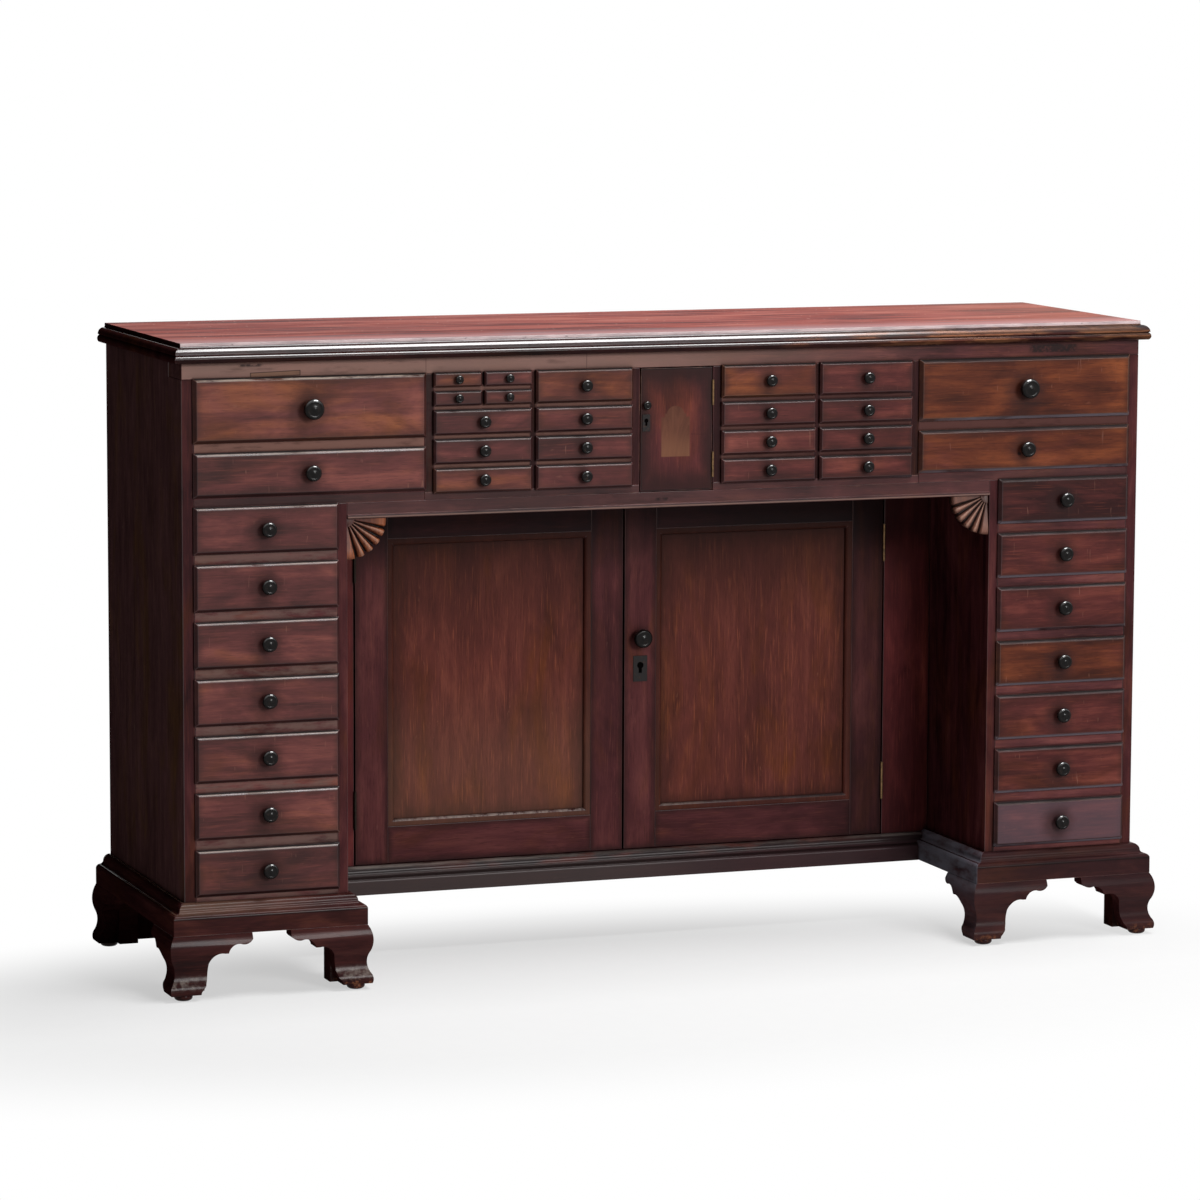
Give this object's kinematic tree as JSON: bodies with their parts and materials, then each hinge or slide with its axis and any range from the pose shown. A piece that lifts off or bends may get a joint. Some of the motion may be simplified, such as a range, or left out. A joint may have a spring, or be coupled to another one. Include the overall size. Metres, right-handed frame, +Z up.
{
  "type": "collectors cabinet",
  "caption": "Kneehole collectors cabinet in dark mahogany with drawer pedestals, a frieze of small drawers round a little door, a recessed cupboard and ogee bracket feet.",
  "frame": {"origin": "on the floor, in the middle of the cabinet's whole width and depth", "axes": "+X along the width to the right seen from the front, +Y from the front to the back, +Z up"},
  "size_m": [1.3882, 0.3992, 0.838],
  "materials": {
    "mahogany": "old french polish, worn on the arrises",
    "carved_mahogany": "worn golden brown carving",
    "ebonised": "ebonised and polished",
    "back_oak": "unpolished boards",
    "brass": "dull aged brass"
  },
  "bodies": {
    "case": {"top_board": "mahogany", "end_panels": "mahogany", "kneehole_cheeks": "mahogany", "back_boards": "back_oak", "frieze_frame": "mahogany", "frieze_partitions": "mahogany", "pedestal_boards": "mahogany", "cupboard_surround": "mahogany", "plinth": "mahogany", "bracket_feet": "mahogany", "foot_pads": "mahogany", "fan_spandrels": "carved_mahogany", "fixed_hinges": "brass"},
    "left_door": {"left_door_frame": "mahogany", "left_door_panel": "mahogany", "left_door_hinges": "brass"},
    "right_door": {"right_door_frame": "mahogany", "right_door_panel": "mahogany", "right_door_hinges": "brass", "right_door_fittings": "ebonised"},
    "small_door_leaf": {"small_door": "mahogany", "small_door_fittings": "ebonised", "small_door_hinges": "brass"},
    "left_large_drawer_1_box": {"left_large_drawer_1": "mahogany"},
    "left_large_drawer_2_box": {"left_large_drawer_2": "mahogany"},
    "left_outer_drawer_2_box": {"left_outer_drawer_2": "mahogany"},
    "left_outer_drawer_3_box": {"left_outer_drawer_3": "mahogany"},
    "left_outer_drawer_4_box": {"left_outer_drawer_4": "mahogany"},
    "left_inner_drawer_1_box": {"left_inner_drawer_1": "mahogany"},
    "left_inner_drawer_2_box": {"left_inner_drawer_2": "mahogany"},
    "left_inner_drawer_3_box": {"left_inner_drawer_3": "mahogany"},
    "left_inner_drawer_4_box": {"left_inner_drawer_4": "mahogany"},
    "left_pedestal_drawer_1_box": {"left_pedestal_drawer_1": "mahogany"},
    "left_pedestal_drawer_2_box": {"left_pedestal_drawer_2": "mahogany"},
    "left_pedestal_drawer_3_box": {"left_pedestal_drawer_3": "mahogany"},
    "left_pedestal_drawer_4_box": {"left_pedestal_drawer_4": "mahogany"},
    "left_pedestal_drawer_5_box": {"left_pedestal_drawer_5": "mahogany"},
    "left_pedestal_drawer_6_box": {"left_pedestal_drawer_6": "mahogany"},
    "left_pedestal_drawer_7_box": {"left_pedestal_drawer_7": "mahogany"},
    "right_large_drawer_1_box": {"right_large_drawer_1": "mahogany"},
    "right_large_drawer_2_box": {"right_large_drawer_2": "mahogany"},
    "right_outer_drawer_1_box": {"right_outer_drawer_1": "mahogany"},
    "right_outer_drawer_2_box": {"right_outer_drawer_2": "mahogany"},
    "right_outer_drawer_3_box": {"right_outer_drawer_3": "mahogany"},
    "right_outer_drawer_4_box": {"right_outer_drawer_4": "mahogany"},
    "right_inner_drawer_1_box": {"right_inner_drawer_1": "mahogany"},
    "right_inner_drawer_2_box": {"right_inner_drawer_2": "mahogany"},
    "right_inner_drawer_3_box": {"right_inner_drawer_3": "mahogany"},
    "right_inner_drawer_4_box": {"right_inner_drawer_4": "mahogany"},
    "right_pedestal_drawer_1_box": {"right_pedestal_drawer_1": "mahogany"},
    "right_pedestal_drawer_2_box": {"right_pedestal_drawer_2": "mahogany"},
    "right_pedestal_drawer_3_box": {"right_pedestal_drawer_3": "mahogany"},
    "right_pedestal_drawer_4_box": {"right_pedestal_drawer_4": "mahogany"},
    "right_pedestal_drawer_5_box": {"right_pedestal_drawer_5": "mahogany"},
    "right_pedestal_drawer_6_box": {"right_pedestal_drawer_6": "mahogany"},
    "right_pedestal_drawer_7_box": {"right_pedestal_drawer_7": "mahogany"},
    "tiny_drawer_1_box": {"tiny_drawer_1": "mahogany"},
    "tiny_drawer_2_box": {"tiny_drawer_2": "mahogany"},
    "tiny_drawer_3_box": {"tiny_drawer_3": "mahogany"},
    "tiny_drawer_4_box": {"tiny_drawer_4": "mahogany"}
  },
  "joints": [
    {"name": "left_door_hinge", "type": "hinge", "parent": "case", "child": "left_door", "pos_m": [-0.3805, 0.01755, 0.12], "axis": [0, 0, -1], "range_deg": [0, 90]},
    {"name": "right_door_hinge", "type": "hinge", "parent": "case", "child": "right_door", "pos_m": [0.3805, 0.01755, 0.12], "axis": [0, 0, 1], "range_deg": [0, 90]},
    {"name": "small_door_hinge", "type": "hinge", "parent": "case", "child": "small_door_leaf", "pos_m": [0.0507, -0.17505, 0.629], "axis": [0, 0, 1], "range_deg": [0, 85]},
    {"name": "left_large_drawer_1_slide", "type": "slide", "parent": "case", "child": "left_large_drawer_1_box", "axis": [0, -1, 0], "range_m": [0, 0.26]},
    {"name": "left_large_drawer_2_slide", "type": "slide", "parent": "case", "child": "left_large_drawer_2_box", "axis": [0, -1, 0], "range_m": [0, 0.26]},
    {"name": "left_pedestal_drawer_1_slide", "type": "slide", "parent": "case", "child": "left_pedestal_drawer_1_box", "axis": [0, -1, 0], "range_m": [0, 0.26]},
    {"name": "tiny_drawer_1_slide", "type": "slide", "parent": "case", "child": "tiny_drawer_1_box", "axis": [0, -1, 0], "range_m": [0, 0.22]},
    {"name": "left_inner_drawer_1_slide", "type": "slide", "parent": "case", "child": "left_inner_drawer_1_box", "axis": [0, -1, 0], "range_m": [0, 0.24]},
    {"name": "right_inner_drawer_2_slide", "type": "slide", "parent": "case", "child": "right_inner_drawer_2_box", "axis": [0, -1, 0], "range_m": [0, 0.24]},
    {"name": "left_outer_drawer_2_slide", "type": "slide", "parent": "case", "child": "left_outer_drawer_2_box", "axis": [0, -1, 0], "range_m": [0, 0.24]},
    {"name": "left_outer_drawer_3_slide", "type": "slide", "parent": "case", "child": "left_outer_drawer_3_box", "axis": [0, -1, 0], "range_m": [0, 0.24]},
    {"name": "left_outer_drawer_4_slide", "type": "slide", "parent": "case", "child": "left_outer_drawer_4_box", "axis": [0, -1, 0], "range_m": [0, 0.24]},
    {"name": "left_inner_drawer_2_slide", "type": "slide", "parent": "case", "child": "left_inner_drawer_2_box", "axis": [0, -1, 0], "range_m": [0, 0.24]},
    {"name": "left_inner_drawer_3_slide", "type": "slide", "parent": "case", "child": "left_inner_drawer_3_box", "axis": [0, -1, 0], "range_m": [0, 0.24]},
    {"name": "left_inner_drawer_4_slide", "type": "slide", "parent": "case", "child": "left_inner_drawer_4_box", "axis": [0, -1, 0], "range_m": [0, 0.24]},
    {"name": "left_pedestal_drawer_2_slide", "type": "slide", "parent": "case", "child": "left_pedestal_drawer_2_box", "axis": [0, -1, 0], "range_m": [0, 0.26]},
    {"name": "left_pedestal_drawer_3_slide", "type": "slide", "parent": "case", "child": "left_pedestal_drawer_3_box", "axis": [0, -1, 0], "range_m": [0, 0.26]},
    {"name": "left_pedestal_drawer_4_slide", "type": "slide", "parent": "case", "child": "left_pedestal_drawer_4_box", "axis": [0, -1, 0], "range_m": [0, 0.26]},
    {"name": "left_pedestal_drawer_5_slide", "type": "slide", "parent": "case", "child": "left_pedestal_drawer_5_box", "axis": [0, -1, 0], "range_m": [0, 0.26]},
    {"name": "left_pedestal_drawer_6_slide", "type": "slide", "parent": "case", "child": "left_pedestal_drawer_6_box", "axis": [0, -1, 0], "range_m": [0, 0.26]},
    {"name": "left_pedestal_drawer_7_slide", "type": "slide", "parent": "case", "child": "left_pedestal_drawer_7_box", "axis": [0, -1, 0], "range_m": [0, 0.26]},
    {"name": "right_large_drawer_1_slide", "type": "slide", "parent": "case", "child": "right_large_drawer_1_box", "axis": [0, -1, 0], "range_m": [0, 0.26]},
    {"name": "right_large_drawer_2_slide", "type": "slide", "parent": "case", "child": "right_large_drawer_2_box", "axis": [0, -1, 0], "range_m": [0, 0.26]},
    {"name": "right_outer_drawer_1_slide", "type": "slide", "parent": "case", "child": "right_outer_drawer_1_box", "axis": [0, -1, 0], "range_m": [0, 0.24]},
    {"name": "right_outer_drawer_2_slide", "type": "slide", "parent": "case", "child": "right_outer_drawer_2_box", "axis": [0, -1, 0], "range_m": [0, 0.24]},
    {"name": "right_outer_drawer_3_slide", "type": "slide", "parent": "case", "child": "right_outer_drawer_3_box", "axis": [0, -1, 0], "range_m": [0, 0.24]},
    {"name": "right_outer_drawer_4_slide", "type": "slide", "parent": "case", "child": "right_outer_drawer_4_box", "axis": [0, -1, 0], "range_m": [0, 0.24]},
    {"name": "right_inner_drawer_1_slide", "type": "slide", "parent": "case", "child": "right_inner_drawer_1_box", "axis": [0, -1, 0], "range_m": [0, 0.24]},
    {"name": "right_inner_drawer_3_slide", "type": "slide", "parent": "case", "child": "right_inner_drawer_3_box", "axis": [0, -1, 0], "range_m": [0, 0.24]},
    {"name": "right_inner_drawer_4_slide", "type": "slide", "parent": "case", "child": "right_inner_drawer_4_box", "axis": [0, -1, 0], "range_m": [0, 0.24]},
    {"name": "right_pedestal_drawer_1_slide", "type": "slide", "parent": "case", "child": "right_pedestal_drawer_1_box", "axis": [0, -1, 0], "range_m": [0, 0.26]},
    {"name": "right_pedestal_drawer_2_slide", "type": "slide", "parent": "case", "child": "right_pedestal_drawer_2_box", "axis": [0, -1, 0], "range_m": [0, 0.26]},
    {"name": "right_pedestal_drawer_3_slide", "type": "slide", "parent": "case", "child": "right_pedestal_drawer_3_box", "axis": [0, -1, 0], "range_m": [0, 0.26]},
    {"name": "right_pedestal_drawer_4_slide", "type": "slide", "parent": "case", "child": "right_pedestal_drawer_4_box", "axis": [0, -1, 0], "range_m": [0, 0.26]},
    {"name": "right_pedestal_drawer_5_slide", "type": "slide", "parent": "case", "child": "right_pedestal_drawer_5_box", "axis": [0, -1, 0], "range_m": [0, 0.26]},
    {"name": "right_pedestal_drawer_6_slide", "type": "slide", "parent": "case", "child": "right_pedestal_drawer_6_box", "axis": [0, -1, 0], "range_m": [0, 0.26]},
    {"name": "right_pedestal_drawer_7_slide", "type": "slide", "parent": "case", "child": "right_pedestal_drawer_7_box", "axis": [0, -1, 0], "range_m": [0, 0.26]},
    {"name": "tiny_drawer_2_slide", "type": "slide", "parent": "case", "child": "tiny_drawer_2_box", "axis": [0, -1, 0], "range_m": [0, 0.22]},
    {"name": "tiny_drawer_3_slide", "type": "slide", "parent": "case", "child": "tiny_drawer_3_box", "axis": [0, -1, 0], "range_m": [0, 0.22]},
    {"name": "tiny_drawer_4_slide", "type": "slide", "parent": "case", "child": "tiny_drawer_4_box", "axis": [0, -1, 0], "range_m": [0, 0.22]}
  ]
}
